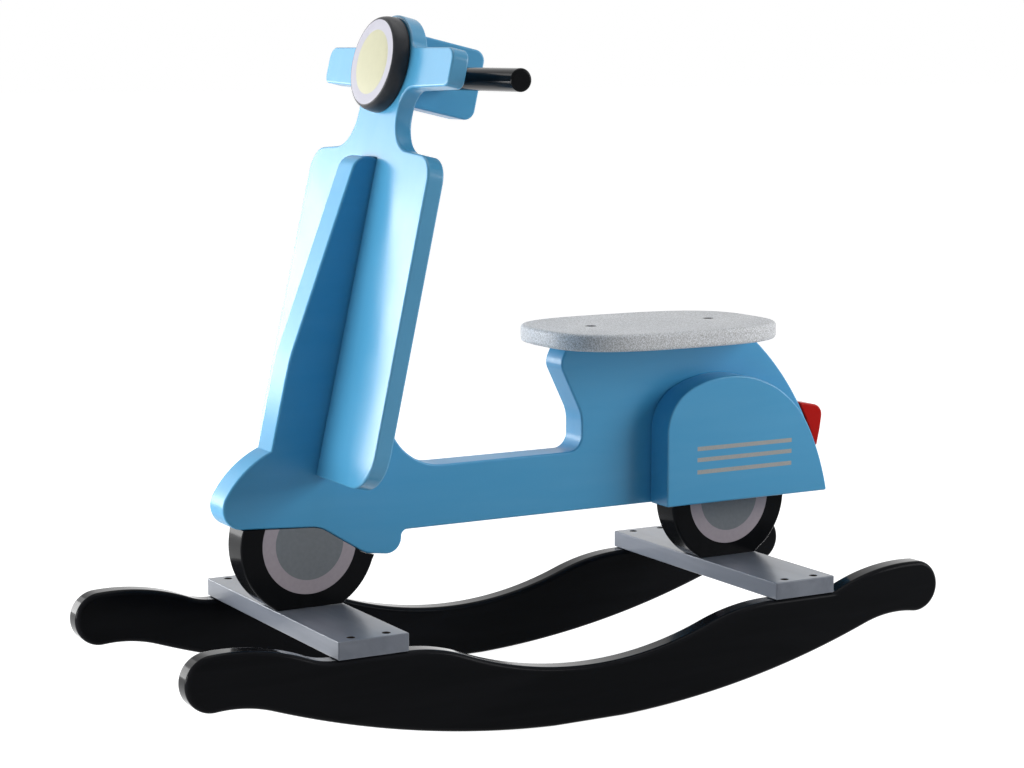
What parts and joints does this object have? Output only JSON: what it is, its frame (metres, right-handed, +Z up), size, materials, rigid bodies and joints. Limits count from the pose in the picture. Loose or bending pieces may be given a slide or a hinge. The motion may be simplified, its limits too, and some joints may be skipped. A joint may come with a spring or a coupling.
{
  "type": "rocking scooter toy",
  "caption": "Wooden ride-on scooter toy on curved rockers, with a flat seat, a slotted front shield, fixed wheels, a round headlight and a straight handlebar.",
  "frame": {"origin": "centre of the bounding box's bottom, on the floor midway between the rockers' ends", "axes": "+X towards the rear, +Y towards the rider's right, +Z up"},
  "size_m": [0.771, 0.3, 0.6177],
  "materials": {
    "blue_paint": "satin sky-blue paint on board",
    "black_paint": "gloss black paint on wood",
    "wheel_paint": "gloss black tyre with a painted mauve-grey ring and a grey hub",
    "silver_grey_paint": "satin silver-grey paint with the grain showing",
    "speckled_finish": "pale grey speckled satin finish",
    "lamp_paint": "dark grey rim, pale ring and cream lens painted on a turned wooden disc",
    "red_paint": "gloss red paint",
    "raw_beech": "unpainted dowel",
    "dark_steel": "blackened screw"
  },
  "bodies": {
    "root": {"block_screw_lower": "dark_steel", "block_screw_upper": "dark_steel", "body_panel": "blue_paint", "cowl_dowel_1": "raw_beech", "cowl_dowel_2": "raw_beech", "cowl_left": "blue_paint", "cowl_right": "blue_paint", "front_cross_board": "silver_grey_paint", "front_wheel": "wheel_paint", "handlebar": "black_paint", "handlebar_block": "blue_paint", "headlight": "lamp_paint", "headlight_dowel_left": "raw_beech", "headlight_dowel_right": "raw_beech", "rear_cross_board": "silver_grey_paint", "rear_wheel": "wheel_paint", "rocker_left": "black_paint", "rocker_right": "black_paint", "rocker_screw_front_left_1": "dark_steel", "rocker_screw_front_left_2": "dark_steel", "rocker_screw_front_right_1": "dark_steel", "rocker_screw_front_right_2": "dark_steel", "rocker_screw_rear_left_1": "dark_steel", "rocker_screw_rear_left_2": "dark_steel", "rocker_screw_rear_right_1": "dark_steel", "rocker_screw_rear_right_2": "dark_steel", "seat_board": "speckled_finish", "seat_screw_front": "dark_steel", "seat_screw_rear": "dark_steel", "shield_board": "blue_paint", "shield_dowel": "raw_beech", "tail_light": "red_paint", "tail_light_dowel": "raw_beech", "wheel_dowel_front_1": "raw_beech", "wheel_dowel_front_2": "raw_beech", "wheel_dowel_rear_1": "raw_beech", "wheel_dowel_rear_2": "raw_beech", "wheel_screw_front_1": "dark_steel", "wheel_screw_front_2": "dark_steel", "wheel_screw_rear_1": "dark_steel", "wheel_screw_rear_2": "dark_steel"}
  },
  "joints": []
}
